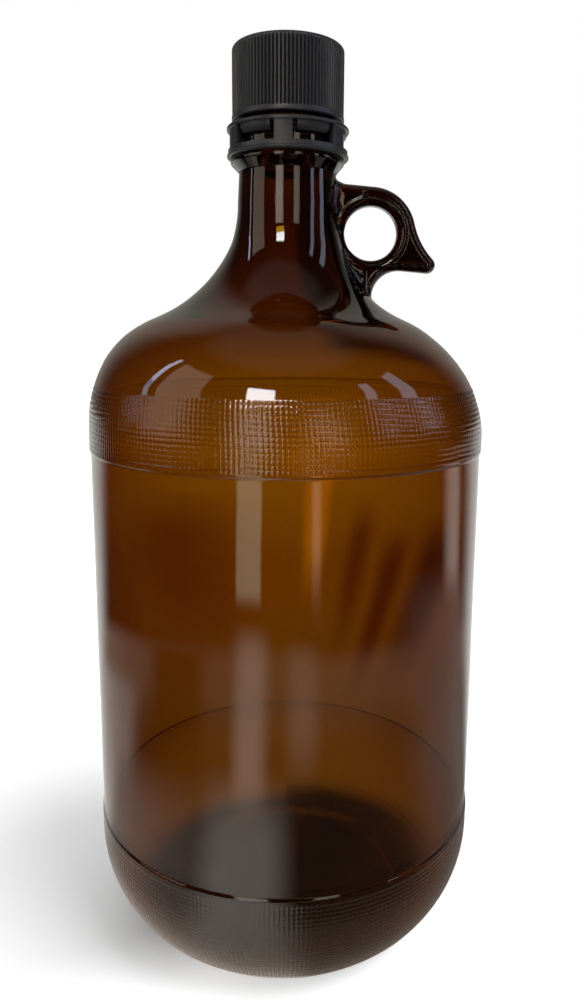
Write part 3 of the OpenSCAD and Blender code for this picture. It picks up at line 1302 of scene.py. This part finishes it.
@dataclass
class ScrewCap:
    """The moulded cap: ribbed skirt, smooth band, rounded top edge, smooth inside."""

    low: float = 329.474
    high: float = 356.67
    outer_r: float = 21.6
    inner_r: float = 19.2
    top: float = 1.8
    edge: float = 1.8
    ribs: int = 94
    flute: float = 0.75
    flute_shape: tuple[float, ...] = (0.0, 0.0, 0.0, 0.6, 1.0, 0.6)
    band: float = 2.1
    band_out: float = 0.2

    def build(self, material: Material) -> Piece:
        """Models the cap and dresses it.

        Args:
            material: the black plastic.

        Returns:
            The finished piece.
        """
        r, low, high = self.outer_r, self.low, self.high
        band_high = low + self.band
        ceiling = high - self.top
        out = self.band_out
        outer = [
            (self.inner_r + 0.35, low), (r + out - 0.35, low), (r + out, low + 0.35),
            (r + out, band_high - 0.45), (r + out - 0.12, band_high - 0.12),
            (r, band_high), (r, band_high + 0.12), (r, band_high + 0.5),
        ]
        outer += [(r, z) for z in np.linspace(band_high + 3, high - self.edge - 2, 4)]
        outer += [(r, high - self.edge - 0.6)]
        outer += arc((r - self.edge, high - self.edge), self.edge, 0, 84, 8)
        outer += [(r - self.edge - 1, high), (12.0, high), (6.0, high), (0.0, high)]
        inner = [
            (0.0, ceiling), (8.0, ceiling), (self.inner_r - 0.8, ceiling),
            (self.inner_r - 0.2, ceiling - 0.2), (self.inner_r, ceiling - 0.8),
            (self.inner_r, (low + ceiling) / 2), (self.inner_r, low + 0.35),
        ]
        piece = Bench.chain("ribbed_cap", upright(inner + outer))
        columns = self.ribs * len(self.flute_shape)
        Bench.spin(piece, columns)
        spots = Bench.places(piece)
        x, y, z = spots.T
        now = np.hypot(x, y)
        step = np.round(np.arctan2(y, x) / (2 * math.pi) * columns).astype(int)
        shape = np.array(self.flute_shape)[step % len(self.flute_shape)]
        fade = np.clip((high - self.edge * 0.35 - z) / (self.edge * 0.9), 0, 1)
        fade *= (z > band_high + 0.05) & (now > self.inner_r + 1)
        spots[:, :2] *= ((now - self.flute * shape * fade) / np.maximum(now, 0.01))[:, None]
        Bench.place(piece, spots)
        Bench.smooth(piece, 42)
        return Bench.hand_over(piece, material, Body.CAP, Slot.BLACK, Solid.CAP)


@dataclass
class TamperRing:
    """The ring that stays on the neck: six windows, two rims, a lip and six catches."""

    low: float = 315.874
    height: float = 11.6
    inner_r: float = 21.2
    wall: float = 2.1
    rim_out: float = 0.45
    upper_rim: float = 1.4
    lower_band: float = 3.2
    lip: float = 1.1
    windows: int = 6
    post_angle: float = 17.0
    post_start: float = 205.5
    catch_r: float = 19.5
    catch_height: float = 3.4
    catch_angle: float = 34.0

    def build(self, material: Material) -> Piece:
        """Models the tamper ring and dresses it.

        Args:
            material: the black plastic.

        Returns:
            The finished piece.
        """
        outer_r = self.inner_r + self.wall
        full = outer_r + self.rim_out
        high = self.low + self.height
        window_low = self.low + self.lower_band
        window_high = high - self.upper_rim
        section = [
            (self.inner_r, self.low), (full - self.lip / 2, self.low),
            (full, self.low + self.lip / 2), (full, self.low + self.lip),
            (outer_r, self.low + self.lip + self.rim_out), (outer_r, window_high - self.rim_out),
            (full, window_high), (full, high - self.rim_out),
            (outer_r, high), (self.inner_r, high),
        ]
        piece = Bench.chain("tamper_band", upright(section), closed=True)
        Bench.spin(piece, 180)
        window = [
            (self.inner_r - 1, window_low), (full + 1, window_low),
            (full + 1, window_high), (self.inner_r - 1, window_high),
        ]
        catch = [
            (self.catch_r, window_high - 0.3), (self.inner_r + 0.5, window_high + 0.3),
            (self.inner_r + 1.5, window_high + 0.3),
            (self.inner_r + 1.5, window_high - self.catch_height / 2),
            (self.inner_r, window_high - self.catch_height),
            (self.catch_r, window_high - self.catch_height / 2),
        ]
        pitch = 360 / self.windows
        for name, outline, sweep, steps, how in (
            ("window_cutter", window, pitch - self.post_angle, 14, Join.CUT),
            ("catch", catch, self.catch_angle, 12, Join.ADD),
        ):
            for i in range(self.windows):
                start = self.post_start + (i + 0.5) * pitch - sweep / 2
                Bench.combine(piece, self.sector(name, outline, start, sweep, steps), how)
        Bench.modify(piece, "BEVEL", width=0.18 * MM, segments=2, limit_method="ANGLE",
                     angle_limit=math.radians(38))
        Bench.smooth(piece, 40)
        return Bench.hand_over(piece, material, Body.RING, Slot.BLACK, Solid.TAMPER)

    @staticmethod
    def sector(
        name: str, section: Sequence[Point], start: float, sweep: float, steps: int
    ) -> Piece:
        """Spins a closed section through part of a turn and caps its ends.

        Args:
            name: the new object's name.
            section: corners as radius and height.
            start: direction of the first end, in degrees.
            sweep: how far it turns, in degrees.
            steps: number of steps.

        Returns:
            The closed sector.
        """
        piece = Bench.chain(name, upright(section), closed=True)
        with Bench.editing(piece):
            bpy.ops.mesh.edge_face_add()
            bpy.ops.mesh.select_all(action="SELECT")
            bpy.ops.mesh.spin(
                steps=steps, dupli=False, angle=-math.radians(sweep), use_auto_merge=False,
                center=(0, 0, 0), axis=(0, 0, 1),
            )
        piece.data.transform(Matrix.Rotation(math.radians(start), 4, "Z"))
        Bench.close(piece)
        return piece


@dataclass
class CapLiner:
    """The foam wad and its facing film, whose solids stay and get their finishes."""

    def build(self, frame: dict) -> None:
        """Dresses the two discs.

        Args:
            frame: the loaded frame.
        """
        for node, finish in ((Solid.WAD, WadFoam()), (Solid.FACING, FacingFilm())):
            disc = frame["nodes"][node.value]
            disc.data.materials.clear()
            disc.data.materials.append(finish.make())
            Bench.smooth(disc, 35)
            LOG.info("%s: dressed", node.value)


# ----------------------------------------------------------------------------
# Studio
# ----------------------------------------------------------------------------


class Ray(Enum):
    """Kinds of ray that the room is shown to, as outputs of the light path node."""

    CAMERA = "Is Camera Ray"
    GLOSSY = "Is Glossy Ray"
    THROUGH = "Is Transmission Ray"


@dataclass(frozen=True)
class Window:
    """A soft panel of the room, placed by direction as seen from the jug.

    Azimuth runs from the viewer's side (-y) towards the finger ring (+x), in degrees.
    Low and high are elevations in degrees in the room, and distances from the axis in
    centimetres on the table.
    """

    azimuth: float
    width: float
    low: float
    high: float
    strength: float
    tint: str = "#ffffff"
    blur: float = 1.0
    fade: float = 1.0


@dataclass(frozen=True)
class Zone:
    """A ring of the table outside a radius in centimetres, and the light that it sends."""

    inside: float
    blur: float
    strength: float
    tint: str = "#ffffff"


@dataclass
class Sky:
    """Direction fields and masks for painting the room and the table round the jug."""

    tree: Tree
    azimuth: Socket
    elevation: Socket

    def step(self, value: Socket, edge: float, blur: float, up: bool = True) -> Socket:
        """Makes a soft step.

        Args:
            value: the field.
            edge: where the step lies.
            blur: half the step's width.
            up: whether it rises.

        Returns:
            A mask from 0 to 1.
        """
        span = {"From Min": edge - blur, "From Max": edge + blur,
                "To Min": 0.0 if up else 1.0, "To Max": 1.0 if up else 0.0}
        node = add_node(
            self.tree, "MapRange", span, {"Value": value}, interpolation_type="SMOOTHSTEP"
        )
        return node.outputs["Result"]

    def panel(self, window: Window) -> Socket:
        """Makes the mask of one window.

        Args:
            window: the window.

        Returns:
            A mask from 0 to 1.
        """
        left, right = (window.azimuth + side * window.width / 2 for side in (-1, 1))
        return product(
            self.tree,
            [
                self.step(self.azimuth, left, window.blur),
                self.step(self.azimuth, right, window.blur, up=False),
                self.step(self.elevation, window.low, window.fade),
                self.step(self.elevation, window.high, window.fade, up=False),
            ],
        )

    def mix(self, mask: Socket, below: Socket | Point3, above: Socket | Point3) -> Socket:
        """Mixes two colours.

        Args:
            mask: how much of the second shows.
            below: the first colour.
            above: the second colour.

        Returns:
            The mixed colour.
        """
        values, links = {}, {0: mask}
        for slot, item in ((6, below), (7, above)):
            if isinstance(item, tuple):
                values[slot] = (*item, 1)
            else:
                links[slot] = item
        return add_node(self.tree, "Mix", values, links, data_type="RGBA").outputs[2]

    def hang(self, colour: Socket | Point3, windows: Iterable[Window]) -> Socket:
        """Adds windows to a colour field.

        Args:
            colour: what is there already.
            windows: the windows.

        Returns:
            The colour field with the windows in it.
        """
        for window in windows:
            light = tuple(c * window.strength for c in linear(window.tint))
            colour = self.mix(self.panel(window), colour, light)
        return colour

    def lay(self, zones: Sequence[Zone]) -> Socket:
        """Lays rings of light on the table, from the middle outwards.

        Args:
            zones: the rings, the innermost first.

        Returns:
            The colour field.
        """
        colour: Socket | Point3 = (0.0, 0.0, 0.0)
        for zone in zones:
            light = tuple(c * zone.strength for c in linear(zone.tint))
            colour = self.mix(self.step(self.elevation, zone.inside, zone.blur), colour, light)
        return colour


@dataclass
class Studio:
    """Plain pale floor, soft light and the camera.

    The camera shows plain white, and a painted glow on the floor in front of the jug. The glass
    mirrors the room and the painted light and shade of the table given here, and shows the backdrop
    and the table's painted light and shade through itself.
    """

    distance: float = 332.23
    height: float = 250.0
    yaw: float = 0.03558
    pitch: float = 0.17270
    roll: float = 0.00955
    lens_mm: float = 28.98684
    shift: Point = (-0.02311, -0.02789)
    mirrored_room: tuple[Window, ...] = (
        # dim ceiling, and the pale wall behind that shows along both edges of the glass
        Window(0, 380, 64, 95, 0.22, "#efe6da", 1, 6),
        Window(180, 84, -20, 58, 0.34, "#fff6e8", 14, 12),
        Window(-180, 84, -20, 58, 0.34, "#fff6e8", 14, 12),
        # tall window left of the viewer, with a yellow blind and a bright pane above it
        Window(-18, 17, -5, 6, 3.3, "#fffbe8", 2, 2),
        Window(-18, 17, 6, 30, 3.3, "#fff0dc", 2),
        Window(-15.5, 19, 33, 38.6, 6.5, "#ffc62a", 0.8),
        Window(-15.5, 19, 38, 46.5, 19.0, "#ffffff", 0.8),
        # narrow window right of the viewer, warm wall, slit window and two cool panes
        Window(22, 13, -4, 30, 2.0, "#fff2d8", 1.5),
        Window(-70, 30, -10, 50, 1.4, "#f3e6cf", 1.0),
        Window(-93, 4, 30, 50, 6.0, "#cfe4ff", 0.6),
        Window(-93, 4, 4, 30, 2.5, "#cfe4ff", 0.6, 3),
        Window(61, 8, 6, 48, 2.6, "#d5ddf2", 1.0),
        Window(88, 11, 6, 48, 2.2, "#d5ddf2", 1.0),
    )
    # painted light and shade of the table as the glass mirrors it: moderate near the foot, a dim
    # ring of painted shade out to 31 cm, a painted pool of light out to 42 cm, dark beyond
    mirrored_painted_table_light: tuple[Zone, ...] = (
        Zone(-1.0, 0.1, 0.35, "#f2dcc8"),
        Zone(13.5, 1.5, 0.10, "#f2dcc8"),
        Zone(31.0, 5.0, 0.50, "#f2dcc8"),
        Zone(42.0, 3.0, 0.025, "#f2dcc8"),
    )
    # painted patches of light and shade on the table that the glass mirrors
    painted_table_light_patches: tuple[Window, ...] = (
        # painted shine round the foot, with a painted dark gap beyond it on the left
        Window(-45, 100, -10, 13.5, 0.8, "#f2e2d2", 8, 1.5),
        Window(-58, 32, 15, 42, 0.03, "#f2dcc8", 8, 2),
        Window(-108, 44, 10, 33, 0.8, "#fff6ea", 8, 3),
        Window(-64, 76, 11, 21, 0.5, "#fff8ee", 8, 4),
        Window(-19, 34, 10, 22, 1.6, "#fffaf0", 9, 4.5),
        # painted light of the windows lying on the table
        Window(106, 14, 50, 130, 1.3, "#fff0e6", 5, 15),
        Window(15.5, 4.5, 60, 260, 1.3, "#fff6d8", 1.2, 15),
        Window(95, 50, 15, 55, 0.4, "#f4f0ea", 15, 12),
        # painted light of the pale table behind the jug, and the near ends of the window's painted
        # light
        Window(180, 110, 9, 1000, 1.0, "#f4f4ee", 10, 2),
        Window(-180, 110, 9, 1000, 1.0, "#f4f4ee", 10, 2),
        Window(8, 13, 27, 42, 1.0, "#ffeede", 5, 5),
        Window(-18, 14, 20, 44, 1.9, "#ffeede", 5, 5),
        Window(-19.5, 13, 54, 1000, 2.1, "#fbffd8", 1, 4),
    )
    # painted glow on the floor in front of the jug, which lifts the shade there for the camera
    painted_front_glow: Window = Window(15, 120, -1, 80, 0.5, "#ffffff", 24, 5)
    backdrop: tuple[Window, ...] = (
        Window(0, 380, 3, 95, 0.6, "#fff4e6", 1, 8),
        Window(169.5, 14, 3, 70, 0.1, "#ffd9c0", 1.5, 2),
        Window(9, 16, 3, 70, 0.1, "#ffd9c0", 1.5, 2),
    )
    # painted light of the table seen through the glass: a painted dark shadow under the foot, then
    # brighter painted rings outwards
    seen_painted_table_light: tuple[Zone, ...] = (
        Zone(-1.0, 0.1, 0.04, "#fff0e0"),
        Zone(7.2, 1.2, 0.66, "#fffaf0"),
        Zone(30.0, 10.0, 0.80, "#ffe8c8"),
        Zone(70.0, 20.0, 1.05, "#fffdf4"),
        Zone(215.0, 90.0, 0.62, "#fff0dc"),
    )
    # painted patches of light and shade on the table seen through the glass
    seen_painted_table_patches: tuple[Window, ...] = (
        # painted bright streak and painted shadow round the foot, then the soft painted dark
        # streaks
        Window(176.6, 2.4, 50, 260, 1.9, "#fff6c8", 0.8, 16),
        Window(150, 70, -1, 8.3, 0.04, "#fff0e0", 26, 1.2),
        Window(171, 2.5, 34, 75, 0.45, "#ffb88a", 1.2, 14),
        Window(166, 3, 24, 62, 0.38, "#ffb88a", 1.2, 10),
        Window(159, 6, 27, 70, 0.30, "#ffb88a", 2, 14),
        Window(-167, 12, 32, 80, 0.6, "#ffc8a0", 5, 16),
        Window(14, 10, 30, 70, 0.4, "#ffb88a", 3, 14),
        Window(-30, 16, 40, 120, 0.6, "#ffc8a0", 5, 20),
        Window(85, 12, 30, 70, 0.45, "#ffb88a", 4, 14),
        Window(-95, 10, 30, 80, 0.45, "#ffb88a", 4, 14),
    )

    def camera(self) -> None:
        """Sets the camera at its eye point, turned, tipped and rolled to face the jug."""
        data = bpy.data.cameras.new("studio_camera")
        camera = bpy.data.objects.new("studio_camera", data)
        bpy.context.scene.collection.objects.link(camera)
        data.sensor_fit = "AUTO"
        data.sensor_width = 36.0
        data.lens = self.lens_mm
        data.shift_x, data.shift_y = self.shift
        data.clip_start, data.clip_end = 0.01, 50
        level = Vector((math.sin(self.yaw), math.cos(self.yaw), 0))
        right = Vector((math.cos(self.yaw), -math.sin(self.yaw), 0))
        forward = level * math.cos(self.pitch) - Vector((0, 0, math.sin(self.pitch)))
        up = level * math.sin(self.pitch) + Vector((0, 0, math.cos(self.pitch)))
        side = right * math.cos(self.roll) + up * math.sin(self.roll)
        top = up * math.cos(self.roll) - right * math.sin(self.roll)
        turn = Matrix((side, top, -forward)).transposed().to_4x4()
        camera.matrix_world = Matrix.Translation((0, -self.distance * MM, self.height * MM)) @ turn
        bpy.context.scene.camera = camera

    def directions(self, tree: Tree, vector: Socket) -> Sky:
        """Turns a vector into azimuth and elevation fields in degrees.

        Args:
            tree: the node tree.
            vector: the vector field.

        Returns:
            The fields, ready for painting.
        """
        x, y, z = add_node(tree, "SeparateXYZ", links={0: vector}).outputs
        back = add_node(tree, "Math", {1: -1.0}, {0: y}, operation="MULTIPLY").outputs[0]
        turns = (
            add_node(tree, "Math", links={0: x, 1: back}, operation="ARCTAN2"),
            add_node(tree, "Math", links={0: z}, operation="ARCSINE"),
        )
        fields = [
            add_node(tree, "Math", links={0: turn.outputs[0]}, operation="DEGREES").outputs[0]
            for turn in turns
        ]
        return Sky(tree, *fields)

    def room(self) -> None:
        """Paints the room: white to the camera, windows to the glass, soft white to the rest."""
        world = bpy.data.worlds.new("studio_room")
        bpy.context.scene.world = world
        world.use_nodes = True
        tree = world.node_tree
        tree.nodes.clear()
        sky = self.directions(tree, add_node(tree, "TexCoord").outputs["Generated"])
        rays = add_node(tree, "LightPath").outputs
        room = sky.hang((0.03, 0.024, 0.018), self.mirrored_room)
        behind = sky.hang((1.0, 0.96, 0.9), self.backdrop)
        colour = sky.mix(rays[Ray.GLOSSY.value], (0.95, 0.95, 0.95), room)
        colour = sky.mix(rays[Ray.THROUGH.value], colour, behind)
        colour = sky.mix(rays[Ray.CAMERA.value], colour, (1.0, 1.0, 1.0))
        glow = add_node(tree, "Background", links={"Color": colour})
        add_node(tree, "OutputWorld", links={"Surface": glow.outputs[0]})

    def floor(self) -> None:
        """Lays the pale floor: matt to the camera with a painted glow in front of the jug, and a
        glow of painted light and shade, set by place, for rays from the glass.
        """
        Bench.clear_selection()
        bpy.ops.mesh.primitive_plane_add(size=12, location=(0, 0, 0))
        floor = bpy.context.object
        floor.name = "studio_floor"
        material, tree, place = blank_material("pale_floor")
        material.cycles.emission_sampling = "NONE"
        unit = add_node(tree, "VectorMath", links={0: place}, operation="NORMALIZE")
        reach = add_node(tree, "VectorMath", links={0: place}, operation="LENGTH")
        centimetres = add_node(
            tree, "Math", {1: 100.0}, {0: reach.outputs["Value"]}, operation="MULTIPLY"
        )
        turn = self.directions(tree, unit.outputs[0]).azimuth
        table = Sky(tree, turn, centimetres.outputs[0])
        rays = add_node(tree, "LightPath").outputs
        # painted light and shade that the floor shows to glass rays, as a glow though it is no lamp
        mirrored = table.hang(table.lay(self.mirrored_painted_table_light), self.painted_table_light_patches)
        through = table.hang(table.lay(self.seen_painted_table_light), self.seen_painted_table_patches)
        shown = table.mix(rays[Ray.THROUGH.value], mirrored, through)
        # painted glow that lifts the floor's shade in front of the jug, shown to camera rays only
        lift = table.hang((0.0, 0.0, 0.0), (self.painted_front_glow,))
        lift = table.mix(rays[Ray.CAMERA.value], (0.0, 0.0, 0.0), lift)
        matt = add_node(tree, "BsdfDiffuse", {"Color": (0.9, 0.9, 0.9, 1)})
        painted_lift_shader = add_node(tree, "Emission", links={"Color": lift})
        lit = add_node(tree, "AddShader", links={0: matt.outputs[0], 1: painted_lift_shader.outputs[0]})
        glow = add_node(tree, "Emission", links={"Color": shown})
        to_glass = add_node(
            tree, "Math", links={0: rays[Ray.GLOSSY.value], 1: rays[Ray.THROUGH.value]},
            operation="MAXIMUM",
        )
        ends = {0: to_glass.outputs[0], 1: lit.outputs[0], 2: glow.outputs[0]}
        surface = add_node(tree, "MixShader", links=ends)
        add_node(tree, "OutputMaterial", links={"Surface": surface.outputs[0]})
        floor.data.materials.append(material)

    def lamp(self) -> None:
        """Hangs one soft key lamp, which the glass doesn't mirror."""
        data = bpy.data.lights.new("soft_key", "SUN")
        data.energy = 2.3
        data.angle = math.radians(42)
        key = bpy.data.objects.new("soft_key", data)
        bpy.context.scene.collection.objects.link(key)
        towards = Vector((-0.6, 0.25, -1.0))
        key.matrix_world = towards.to_track_quat("-Z", "Y").to_matrix().to_4x4()
        key.visible_glossy = False
        key.visible_transmission = False

    def build(self) -> None:
        """Sets the camera, the floor, the room, the lamp and the light's bounces."""
        scene = bpy.context.scene
        scene.view_settings.view_transform = "Standard"
        scene.cycles.max_bounces = 24
        scene.cycles.transmission_bounces = 24
        scene.cycles.glossy_bounces = 8
        self.camera()
        self.floor()
        self.room()
        self.lamp()


def main() -> None:
    """Builds the jug around the frame and sets the studio."""
    logging.basicConfig(level=logging.INFO, format="%(name)s: %(message)s")
    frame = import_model()
    Studio().build()
    GlassJug().build(AmberGlass().make())
    black = BlackPolypropylene().make()
    ScrewCap().build(black)
    TamperRing().build(black)
    CapLiner().build(frame)


if __name__ == "__main__":
    main()
